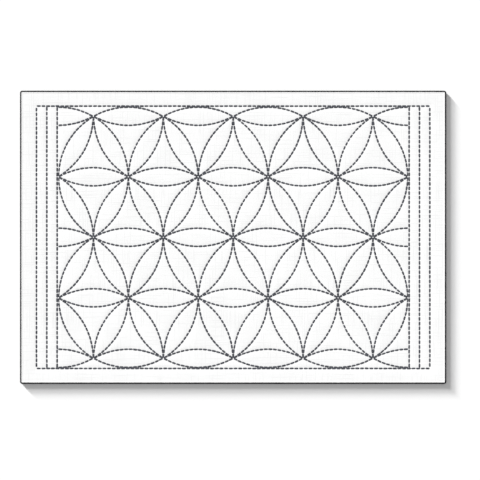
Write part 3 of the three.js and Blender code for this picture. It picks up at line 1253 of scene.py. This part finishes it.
@dataclass(frozen=True)
class TwistedThread(Finish):
    """Dull cotton thread of a few plies, on each stitch's own UV map and tone.

    Attributes:
        dark: Painted shade in the grooves between the plies.
        light: On the tops of the plies, lighter there as painted light.
        plies: How many there are.
        ply_roundness: The power that shapes a ply's back.
        painted_ply_shading: How much lighter the top of a ply is painted than the groove beside
            it, as painted light and shade.
        lay: The length of one turn of the twist.
        fibre_scale: The fibres to a metre of thread.
        fibres_in_ply: The fibres across a ply.
        fibre_shift: How far the fibres differ from stitch to stitch.
        fibre_height: How far a fibre stands out, as a share of the relief.
        fibre_light: How much lighter a fibre is.
        tone_spread: How much lighter the lightest stitch is than the darkest.
    """

    relief: float = 0.25 * MM
    bump: float = 0.8
    roughness: float = 0.8
    gloss: float = 0.25
    fuzz: float = 0.15
    fuzz_roughness: float = 0.4
    dark: tuple[float, float, float, float] = (0.004, 0.005, 0.007, 1.0)
    light: tuple[float, float, float, float] = (0.0965, 0.1015, 0.1205, 1.0)
    plies: int = 4
    ply_roundness: float = 0.7
    painted_ply_shading: float = 0.7
    lay: float = 5.6 * MM
    fibre_scale: float = 400.0
    fibres_in_ply: float = 7.0
    fibre_shift: float = 40.0
    fibre_height: float = 0.35
    fibre_light: float = 0.5
    tone_spread: float = 0.3

    def pattern(self, graph: Graph) -> tuple[Socket, Socket]:
        """Draws the twist, with fine fibres on it, painting shade into the grooves between the
        plies and light on their tops.

        Args:
            graph: The material's graph.

        Returns:
            The colour and the height of every place.
        """
        uv = graph.add("ShaderNodeUVMap", uv_map="UVMap").outputs[0]
        along, around, _ = graph.separate(uv)
        tone = graph.add("ShaderNodeAttribute", attribute_name="tone").outputs["Fac"]
        turns = graph.math("ADD", around, graph.math("DIVIDE", along, self.lay))
        twist = graph.product(turns, float(self.plies))
        ply = graph.math("ABSOLUTE", graph.math("SINE", graph.product(twist, math.pi)))
        ply = graph.math("POWER", ply, self.ply_roundness)
        strand = graph.combine(
            graph.product(along, self.fibre_scale),
            graph.product(twist, self.fibres_in_ply),
            graph.product(tone, self.fibre_shift),
        )
        fibre = graph.noise(strand, (1.0, 1.0, 1.0), detail=2.0)
        height = graph.math("MULTIPLY_ADD", fibre, self.fibre_height, ply)
        # Painted light and shade: the colour runs from the dark grooves to the light tops of the
        # plies; the fibres and each stitch's tone vary it at random.
        painted_ply_shade_and_tone = graph.product(ply, self.painted_ply_shading)
        painted_ply_shade_and_tone = graph.math("MULTIPLY_ADD", fibre, self.fibre_light, painted_ply_shade_and_tone)
        painted_ply_shade_and_tone = graph.math("MULTIPLY_ADD", graph.math("SUBTRACT", tone, 0.5), self.tone_spread, painted_ply_shade_and_tone)
        blend = graph.add("ShaderNodeMix", painted_ply_shade_and_tone, data_type="RGBA")
        graph.feed_all(blend, {"A_Color": self.dark, "B_Color": self.light})
        return blend.outputs[2], height


@dataclass(frozen=True)
class CharcoalThread(TwistedThread):
    """The edge's thread, which is darker and duller than the stitches'."""

    gloss: float = 0.1
    fuzz: float = 0.0
    # As in the stitches' thread, dark is painted shade between the plies and light the tops of the
    # plies, painted light.
    dark: tuple[float, float, float, float] = (0.002, 0.002, 0.003, 1.0)
    light: tuple[float, float, float, float] = (0.021, 0.0215, 0.024, 1.0)


# The pieces


@dataclass
class ClothSheet:
    """The cotton cloth as one closed sheet: stitched face, rolled hem and underside.

    Attributes:
        surface: The height of the stitched face.
        crest_inset: From the mat's edge to the top of the hem's roll.
        edge_inset: Room left outside the cloth for the thread round its edge.
        underside: The height of the underside above the floor.
        spacing: The distance between points on the stitched lines.
        rows_beside: Rows of points beside a stitched line: how far aside each is, and its spacing
            as a share of that on the line.
        closest: The least distance between points beside the lines.
        open_spacing: The distance between points further from the lines.
        open_from_line: How far from a line those start.
        open_from_edge: How far from the mat's edge they start.
        hem_insets: Rows of points along the hem, inside its crest: how far each is from the mat's
            edge.
        hem_spacing: The distance between points in those rows.
        roll_steps: Steps round the outside of the hem.
        base_spacing: The distance between points of the underside.
    """

    surface: ClothSurface
    crest_inset: float = 1.66 * MM
    edge_inset: float = 0.5 * MM
    underside: float = 0.3 * MM
    spacing: float = 1.15 * MM
    rows_beside: tuple[tuple[float, float], ...] = (
        (0.0, 1.0),
        (0.8 * MM, 1.0),
        (1.7 * MM, 1.2),
        (2.8 * MM, 1.6),
    )
    closest: float = 0.45 * MM
    open_spacing: float = 2.1 * MM
    open_from_line: float = 3.6 * MM
    open_from_edge: float = 5.6 * MM
    hem_insets: tuple[float, ...] = tuple(
        inset * MM for inset in (1.9, 2.2, 2.5, 2.8, 3.1, 3.5, 4.1, 4.9)
    )
    hem_spacing: float = 1.6 * MM
    roll_steps: int = 7
    base_spacing: float = 7 * MM

    def thinned(self, points: np.ndarray) -> np.ndarray:
        """Leaves out points that lie very close to others.

        Args:
            points: One point a row.

        Returns:
            One point in each small square, for two grids of squares half a square apart.
        """
        for shift in (0.0, 0.5):
            cells = np.floor(points / self.closest + shift).astype(np.int64)
            _, first = np.unique(cells, axis=0, return_index=True)
            points = points[np.sort(first)]
        return points

    def beside_lines(self) -> np.ndarray:
        """Sets points on the stitched lines, and in rows beside them.

        Returns:
            One point a row.
        """
        kept, clear_share, tiny = [], 0.85, 1e-6
        for aside, share in self.rows_beside:
            step = share * self.spacing
            for sign in (1, -1) if aside else (1,):
                rows = []
                for run in self.surface.runs:
                    along = np.linspace(0, run.length, round(run.length / step) + 1)
                    rows.append(run.places(along, sign * aside))
                points = np.concatenate(rows)
                clear = self.surface.line_distance(points) > clear_share * aside - tiny
                kept.append(points[clear])
        return self.thinned(np.concatenate(kept))

    def between_lines(self) -> np.ndarray:
        """Sets an even triangular grid of points, clear of the stitched lines and of the hem.

        Returns:
            One point a row.
        """
        plan, step = self.surface.plan, self.open_spacing
        rise = step * math.sin(SIXTH_TURN)
        columns, rows = round(plan.half_x / step), round(plan.half_y / rise)
        points = np.array(
            [
                ((column + 0.5 * (row % 2)) * step, row * rise)
                for row in range(-rows, rows + 1)
                for column in range(-columns, columns + 1)
            ]
        )
        points = points[plan.edge_distance(points) > self.open_from_edge]
        return points[self.surface.line_distance(points) > self.open_from_line]

    def hem_rows(self) -> np.ndarray:
        """The rows of points along the hem."""
        outline = self.surface.plan.outline
        return np.concatenate([outline(inset, self.hem_spacing)[0] for inset in self.hem_insets])

    def base_grid(self) -> np.ndarray:
        """Sets a square grid of points on the underside.

        Returns:
            One point a row.
        """
        plan, step = self.surface.plan, self.base_spacing
        columns, rows = int(plan.half_x / step), int(plan.half_y / step)
        places = [(x, y) for x in range(-columns, columns + 1) for y in range(-rows, rows + 1)]
        grid = np.array(places) * step
        return grid[plan.edge_distance(grid) > self.crest_inset + step / 2]

    def triangulated(
        self, ring: np.ndarray, inner: np.ndarray
    ) -> tuple[np.ndarray, np.ndarray, np.ndarray]:
        """Joins a closed ring of points and the points inside it by triangles.

        Args:
            ring: The outline, anticlockwise.
            inner: The points inside it.

        Returns:
            The points, the triangles, and which point each of the ring's has become.
        """
        keep_inside, tiny = 1, 1e-8
        points = [Vector(point) for point in np.concatenate([ring, inner])]
        count = len(ring)
        found, _, faces, origins, _, _ = delaunay_2d_cdt(
            points, ring_edges(count), [], keep_inside, tiny, True
        )
        places = np.zeros(count, dtype=np.int64)
        for place, sources in enumerate(origins):
            for source in sources:
                if source < count:
                    places[source] = place
        return np.array([tuple(point) for point in found]), np.array(faces), places

    def roll(self, ring: np.ndarray, outward: np.ndarray, crest: np.ndarray) -> list[np.ndarray]:
        """Rounds the outside of the hem.

        Args:
            ring: The crest of the hem, one point a row.
            outward: The unit vector out of the mat at each point.
            crest: The height at each point.

        Returns:
            Rings of points round the roll, from the highest to the lowest.
        """
        middle = (crest + self.underside) / 2
        width = self.crest_inset - self.edge_inset
        rings = []
        for angle in math.pi * np.arange(1, self.roll_steps) / self.roll_steps:
            level = middle + (crest - middle) * math.cos(angle)
            rings.append(np.column_stack([ring + outward * width * math.sin(angle), level]))
        return rings

    def build(self, name: str, material: bpy.types.Material) -> bpy.types.Object:
        """Makes the sheet.

        Args:
            name: The piece's name.
            material: The cotton.

        Returns:
            The piece.
        """
        ring, outward = self.surface.plan.outline(self.crest_inset, self.spacing)
        inner = np.concatenate([self.beside_lines(), self.between_lines(), self.hem_rows()])
        top, top_faces, top_ring = self.triangulated(ring, inner)
        base, base_faces, base_ring = self.triangulated(ring, self.base_grid())
        heights = self.surface.heights(top)
        rolled = self.roll(ring, outward, heights[top_ring])
        base = np.column_stack([base, np.full(len(base), self.underside)])
        verts = np.concatenate([np.column_stack([top, heights]), *rolled, base])
        count = len(ring)
        base_start = len(verts) - len(base)
        rings = [start + np.arange(count) for start in range(len(top), base_start, count)]
        rings = [top_ring, *rings, base_start + base_ring]
        faces = top_faces.tolist() + (base_faces[:, ::-1] + base_start).tolist()
        for upper, lower in zip(rings, rings[1:]):
            corners = [upper, lower, np.roll(lower, -1), np.roll(upper, -1)]
            faces += np.stack(corners, axis=1).tolist()
        mesh = new_mesh(name, verts, [], faces)
        mesh.validate()
        mesh.shade_smooth()
        mesh.materials.append(material)
        return placed(name, mesh)


@dataclass
class RunningStitches:
    """Every stitch as a short thread of its own, which dips into the cloth at both ends.

    Attributes:
        surface: The height of the stitched face.
        underside: The height of the cloth's underside.
        lift: How far the thread's middle lies outside the cloth.
        dip: How deep a stitch's ends lie, in thicknesses of the thread.
        ends: How late a stitch's ends begin and how they are rounded, as powers.
        rings: Points along a stitch.
        sides: Sides round it.
        uneven_length: How far stitches differ in length, as a share of it.
        uneven_width: How far they differ in width, as a share of it.
        uneven_turn: How far they lie askew.
        uneven_place: How far they lie out of place.
        back_length: The length of a stitch on the back.
        back_width: Its width.
        back_height: Its thickness.
        back_dip: How deep its ends lie.
        back_rings: Points along it.
        back_sides: Sides round it.
        seed: For the small unevenness of hand sewing.
    """

    surface: ClothSurface
    underside: float
    lift: float = 0.12 * MM
    dip: float = 0.5
    ends: tuple[float, float] = (6.0, 0.42)
    rings: int = 9
    sides: int = 6
    uneven_length: float = 0.04
    uneven_width: float = 0.07
    uneven_turn: float = math.radians(2.2)
    uneven_place: float = 0.07 * MM
    back_length: float = 1.7 * MM
    back_width: float = 1.1 * MM
    back_height: float = 0.36 * MM
    back_dip: float = 0.4
    back_rings: int = 5
    back_sides: int = 5
    seed: int = 5
    grower: GrowingTree = field(init=False)

    def __post_init__(self) -> None:
        """Builds the tree that sets a stitch on every place of a run.

        The path's points give the number of stitches and the share of its width that the thread
        keeps there.
        """
        sizes = {
            "Stitch Length": SEWING.length + 2 * SEWING.dive,
            "Stitch Width": SEWING.width,
            "Stitch Height": SEWING.height,
            "Dip": self.dip,
            "Uneven Length": self.uneven_length,
            "Uneven Width": self.uneven_width,
            "Uneven Turn": self.uneven_turn,
            "Uneven Place": self.uneven_place,
            "Roll": 0.0,
        }
        counts = {"Rings": self.rings, "Sides": self.sides, "Seed": self.seed}
        self.grower = GrowingTree("running_stitches", sizes, counts)
        grower, graph, inputs = self.grower, self.grower.graph, self.grower.inputs
        spots, along = grower.spots(grower.attribute("stitches", "INT"))
        offsets = [grower.around(0.0, inputs["Uneven Place"], stream) for stream in (1, 2)]
        moved = graph.add("GeometryNodeSetPosition", spots, None, None, graph.combine(*offsets))
        turn = grower.around(0.0, inputs["Uneven Turn"], stream=3)
        rotation = grower.turned("X", along, inputs["Roll"], turn)
        length = grower.around(1.0, inputs["Uneven Length"], stream=4)
        width = grower.around(1.0, inputs["Uneven Width"], stream=5)
        breadth = grower.attribute("breadth", "FLOAT")
        scale = graph.combine(
            graph.product(inputs["Stitch Length"], length),
            graph.product(inputs["Stitch Width"], breadth, width),
            inputs["Stitch Height"],
        )
        tube = grower.tube(self.stitch_place, inputs["Stitch Length"])
        grower.close(moved.outputs[0], tube, rotation, scale)

    def stitch_place(self, reach: Socket, angle: Socket) -> Socket:
        """Shapes a stitch whose length, width and height are 1.

        Args:
            reach: -1 at one end of the stitch and 1 at the other.
            angle: The angle round the thread.

        Returns:
            The point. The stitch dips at its ends.
        """
        graph = self.grower.graph
        aside, up, near_end = self.grower.section(reach, angle, self.ends, 1.0)
        dip = graph.product(near_end, self.grower.inputs["Dip"])
        return graph.combine(graph.product(reach, 0.5), aside, graph.math("SUBTRACT", up, dip))

    def path_mesh(self, runs: list[Run], face: Face) -> bpy.types.Mesh:
        """Makes the runs chains of edges, from the first stitch's middle to the last one's.

        Args:
            runs: The lines of stitches.
            face: The side of the cloth. The back's stitches lie between the front's.

        Returns:
            The chains. Each point has the number of stitches, and the share of its width that the
            thread keeps.
        """
        back = face is Face.BACK
        verts, edges, counts, breadths = [], [], [], []
        for run in runs:
            stitches = run.stitches - back
            start = run.first + back * run.pitch / 2
            steps = 2 * (stitches - 1)
            path, breadth = run.sewn_path(start + run.pitch / 2 * np.arange(steps + 1))
            level = self.surface.heights(path) + self.lift
            if back:
                level = np.full(len(path), self.underside - self.lift)
            edges += [(len(verts) + n, len(verts) + n + 1) for n in range(steps)]
            verts += np.column_stack([path, level]).tolist()
            counts += [stitches] * (steps + 1)
            breadths += breadth.tolist()
        mesh = new_mesh("sewn_paths", np.array(verts), edges, [])
        stored = (("stitches", "INT", counts), ("breadth", "FLOAT", breadths))
        for name, data_type, values in stored:
            mesh.attributes.new(name, data_type, "POINT").data.foreach_set("value", values)
        return mesh

    def build(
        self, name: str, runs: list[Run], face: Face, material: bpy.types.Material
    ) -> bpy.types.Object:
        """Sews some runs.

        Args:
            name: The piece's name.
            runs: The lines of stitches.
            face: The side of the cloth.
            material: The thread.

        Returns:
            The stitches as one piece.
        """
        values: dict[str, float | int] = {}
        if face is Face.BACK:
            values = {
                "Stitch Length": self.back_length,
                "Stitch Width": self.back_width,
                "Stitch Height": self.back_height,
                "Dip": self.back_dip,
                "Roll": math.pi,
                "Rings": self.back_rings,
                "Sides": self.back_sides,
            }
        return self.grower.grow(name, self.path_mesh(runs, face), values, material)


@dataclass
class OvercastEdge:
    """Close overcasting round the hem: one short thread after another, from face to underside.

    Attributes:
        sheet: The cloth that it is sewn round.
        thickness: Of the thread.
        pitch: From one turn to the next.
        slant: How far a turn leans along the edge.
        past: How far a turn goes round past the top and the bottom, as an angle.
        ends: How late a turn's ends begin and how they are rounded, as powers.
        uneven_turn: How far turns lie askew.
        uneven_width: The thinnest and the thickest turn, as shares of the thickness.
        uneven_reach: The shortest and the longest turn, as shares of the usual one.
        turn_length: The thread's length in one turn.
        path_spacing: The distance between points of the path.
        clearance: Room left under the lowest thread.
        rings: Points along a turn.
        sides: Sides round it.
        seed: For the small unevenness of hand sewing.
    """

    sheet: ClothSheet
    thickness: float = 0.8 * MM
    pitch: float = 0.65 * MM
    slant: float = 0.3 * MM
    past: float = 0.08
    ends: tuple[float, float] = (10.0, 0.5)
    uneven_turn: float = math.radians(3)
    uneven_width: tuple[float, float] = (0.92, 1.1)
    uneven_reach: tuple[float, float] = (0.94, 1.06)
    turn_length: float = 4 * MM
    path_spacing: float = 1 * MM
    clearance: float = 0.02 * MM
    rings: int = 9
    sides: int = 6
    seed: int = 23
    grower: GrowingTree = field(init=False)

    @property
    def lowest(self) -> float:
        """The height of the thread's middle under the hem."""
        return self.thickness / 2 + self.clearance

    @property
    def highest(self) -> float:
        """The height of the thread's middle over the hem."""
        return self.sheet.surface.pad_height + self.sheet.surface.hem_rise

    def __post_init__(self) -> None:
        """Builds the tree that sets a turn of thread on every place of the edge.

        The path's points give the direction into the mat.
        """
        sizes = {
            "Reach": self.sheet.crest_inset - self.thickness / 2,
            "Half Height": (self.highest - self.lowest) / 2,
            "Thickness": self.thickness,
            "Slant": self.slant,
            "Uneven Turn": self.uneven_turn,
        }
        counts = {"Turns": 1, "Rings": self.rings, "Sides": self.sides, "Seed": self.seed}
        self.grower = GrowingTree("overcast_turns", sizes, counts)
        grower, graph, inputs = self.grower, self.grower.graph, self.grower.inputs
        spots, _ = grower.spots(inputs["Turns"])
        inward = grower.attribute("inward", "FLOAT_VECTOR")
        turn = grower.around(0.0, inputs["Uneven Turn"], stream=1)
        rotation = grower.turned("Y", inward, 0.0, turn)
        width = grower.random(*self.uneven_width, stream=2)
        reach = grower.random(*self.uneven_reach, stream=3)
        tube = grower.tube(self.turn_place, self.turn_length)
        grower.close(spots, tube, rotation, graph.combine(width, reach, 1.0))

    def turn_place(self, off_middle: Socket, angle: Socket) -> Socket:
        """Shapes one turn of thread, which starts on the face and ends on the underside.

        Args:
            off_middle: -1 where it starts and 1 where it ends.
            angle: The angle round the thread.

        Returns:
            The point. X is along the edge and Y into the mat, from the outermost place.
        """
        graph, inputs = self.grower.graph, self.grower.inputs
        swing = graph.math("MULTIPLY_ADD", off_middle, math.pi / 2 + self.past, math.pi / 2)
        sine, cosine = graph.math("SINE", swing), graph.math("COSINE", swing)
        aside, out, _ = self.grower.section(off_middle, angle, self.ends, inputs["Thickness"])
        lean = graph.product(off_middle, inputs["Slant"], 0.5)
        reach = graph.product(graph.math("SUBTRACT", 1.0, sine), inputs["Reach"])
        return graph.combine(
            graph.math("ADD", aside, lean),
            graph.math("SUBTRACT", reach, graph.product(out, sine)),
            graph.product(graph.math("ADD", inputs["Half Height"], out), cosine),
        )

    def build(self, name: str, material: bpy.types.Material) -> bpy.types.Object:
        """Sews round the whole edge.

        Args:
            name: The piece's name.
            material: The thread.

        Returns:
            The turns of thread as one piece.
        """
        path, outward = self.sheet.surface.plan.outline(self.thickness / 2, self.path_spacing)
        count = len(path)
        middle = np.full(count, (self.highest + self.lowest) / 2)
        mesh = new_mesh("edge_path", np.column_stack([path, middle]), ring_edges(count), [])
        inward = np.column_stack([-outward, np.zeros(count)])
        attribute = mesh.attributes.new("inward", "FLOAT_VECTOR", "POINT")
        attribute.data.foreach_set("vector", inward.ravel())
        around = np.linalg.norm(np.roll(path, -1, axis=0) - path, axis=1).sum()
        return self.grower.grow(name, mesh, {"Turns": round(around / self.pitch)}, material)


# The studio


@dataclass(frozen=True)
class Sun:
    """A soft light from far away.

    Attributes:
        name: The light's name.
        strength: On a surface that faces it.
        elevation: Above the horizon, in degrees.
        width: How wide it looks, in degrees.
        reach: What it falls on.
    """

    name: str
    strength: float
    elevation: float
    width: float
    reach: LightReach

    def hang(self, side: float, floor: bpy.types.Object) -> None:
        """Hangs the light.

        Args:
            side: The direction that it comes from, as an angle from +X.
            floor: The floor.
        """
        light = bpy.data.lights.new(self.name, "SUN")
        light.energy = self.strength
        light.angle = math.radians(self.width)
        holder = placed(self.name, light)
        up = math.radians(self.elevation)
        x, y = math.cos(side) * math.cos(up), math.sin(side) * math.cos(up)
        holder.rotation_mode = "QUATERNION"
        holder.rotation_quaternion = Vector((x, y, math.sin(up))).to_track_quat("Z", "Y")
        chosen = bpy.data.collections.new(self.name + "_reach")
        chosen.objects.link(floor)
        chosen.collection_objects[0].light_linking.link_state = self.reach.value
        holder.light_linking.receiver_collection = chosen


@dataclass
class Studio:
    """A pale floor, soft light from the upper left, and a camera that looks straight down.

    Attributes:
        view_width: The width that the picture shows, at the height of the mat's face.
        aim: Where the camera looks.
        face_height: The height of the mat's face.
        lens: In millimetres.
        sensor: The camera's sensor width, in millimetres.
        clip: The nearest and the furthest that the camera sees.
        floor_size: The floor's side.
        floor_tone: The floor's brightness.
        sky: The brightness of the light from all round.
        suns: The lowest for the far part of the mat's shadow, the next for its near part, and the
            high one for the mat itself.
        sun_side: The direction that they come from, as an angle from +X.
    """

    view_width: float = 494.3 * MM
    aim: tuple[float, float] = (7.05 * MM, -2.79 * MM)
    face_height: float = 1.7 * MM
    lens: float = 100.0
    sensor: float = 36.0
    clip: tuple[float, float] = (0.1, 50.0)
    floor_size: float = 14.0
    floor_tone: float = 0.9
    sky: float = 0.42
    suns: tuple[Sun, ...] = (
        Sun("long_shadow_sun", 11.5, elevation=5.9, width=5, reach=LightReach.FLOOR_ONLY),
        Sun("short_shadow_sun", 5.95, elevation=11.3, width=9, reach=LightReach.FLOOR_ONLY),
        Sun("high_sun", 3.12, elevation=46, width=40, reach=LightReach.ALL_BUT_FLOOR),
    )
    sun_side: float = math.radians(132.5)

    def floor(self) -> bpy.types.Object:
        """Lays the floor.

        Returns:
            The floor.
        """
        corners = np.array([(-1, -1, 0), (1, -1, 0), (1, 1, 0), (-1, 1, 0)]) * self.floor_size / 2
        mesh = new_mesh("floor", corners, [], [(0, 1, 2, 3)])
        paper = bpy.data.materials.new("floor_paper")
        paper.use_nodes = True
        tone = (self.floor_tone, self.floor_tone, self.floor_tone, 1.0)
        values = {"Base Color": tone, "Roughness": 1.0, "Specular IOR Level": 0.0}
        Graph(paper.node_tree).feed_all(paper.node_tree.nodes["Principled BSDF"], values)
        mesh.materials.append(paper)
        floor = placed("floor", mesh)
        return floor

    def light(self, floor: bpy.types.Object) -> None:
        """Lights the floor from low down and the mat from higher up.

        Args:
            floor: The floor, which alone takes the low light, and doesn't take the high one.
        """
        world = bpy.data.worlds.new("sky")
        bpy.context.scene.world = world
        world.use_nodes = True
        values = {"Color": (1.0, 1.0, 1.0, 1.0), "Strength": self.sky}
        Graph(world.node_tree).feed_all(world.node_tree.nodes["Background"], values)
        for sun in self.suns:
            sun.hang(self.sun_side, floor)

    def camera(self) -> None:
        """Hangs the camera over the mat.

        It looks straight down, with the mat's long side level in the picture.
        """
        made = bpy.data.cameras.new("camera")
        made.lens = self.lens
        made.sensor_width = self.sensor
        made.clip_start, made.clip_end = self.clip
        holder = placed("camera", made)
        holder.location = (*self.aim, self.face_height + self.view_width * self.lens / self.sensor)
        bpy.context.scene.camera = holder

    def build(self) -> None:
        """Makes the whole studio.

        White in it stays white in the picture.
        """
        self.light(self.floor())
        self.camera()
        bpy.context.scene.view_settings.view_transform = "Standard"


# The whole scene


def attach(piece: bpy.types.Object, slot: Slot, *nodes: str) -> None:
    """Makes a piece ride on the mat's body, and reports it.

    Args:
        piece: A finished piece.
        slot: The material slot that its finish belongs to. Not used.
        nodes: The CAD nodes that it stands for.
    """
    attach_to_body(piece, BODY)
    if nodes:
        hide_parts(*nodes)
    report(piece)


def main() -> None:
    """Builds the mat piece by piece, then the studio.
    """
    logging.basicConfig(level=logging.INFO, format="%(name)s: %(message)s")
    plan = MatPlan.from_frame()
    circles = [*plan.petal_arcs(), *plan.cut_arcs()]
    border = plan.border_lines()
    cotton = Cotton().material("bleached_cotton")
    thread = TwistedThread().material("slate_thread")
    edge_thread = CharcoalThread().material("charcoal_thread")

    sheet = ClothSheet(ClothSurface(plan, [*circles, *border]))
    cloth = sheet.build("cotton_cloth", cotton)
    attach(cloth, Slot.CLOTH, "cloth")

    sewing = RunningStitches(sheet.surface, sheet.underside)
    circle_rows = sewing.build("circle_stitches", circles, Face.FRONT, thread)
    attach(circle_rows, Slot.THREAD, "circle_stitching")
    border_rows = sewing.build("border_stitches", border, Face.FRONT, thread)
    attach(border_rows, Slot.THREAD, "border_stitching")
    back_rows = sewing.build("back_stitches", [*circles, *border], Face.BACK, thread)
    attach(back_rows, Slot.THREAD)
    edge = OvercastEdge(sheet).build("overcast_edge", edge_thread)
    attach(edge, Slot.THREAD)

    Studio().build()


if __name__ == "__main__":
    main()
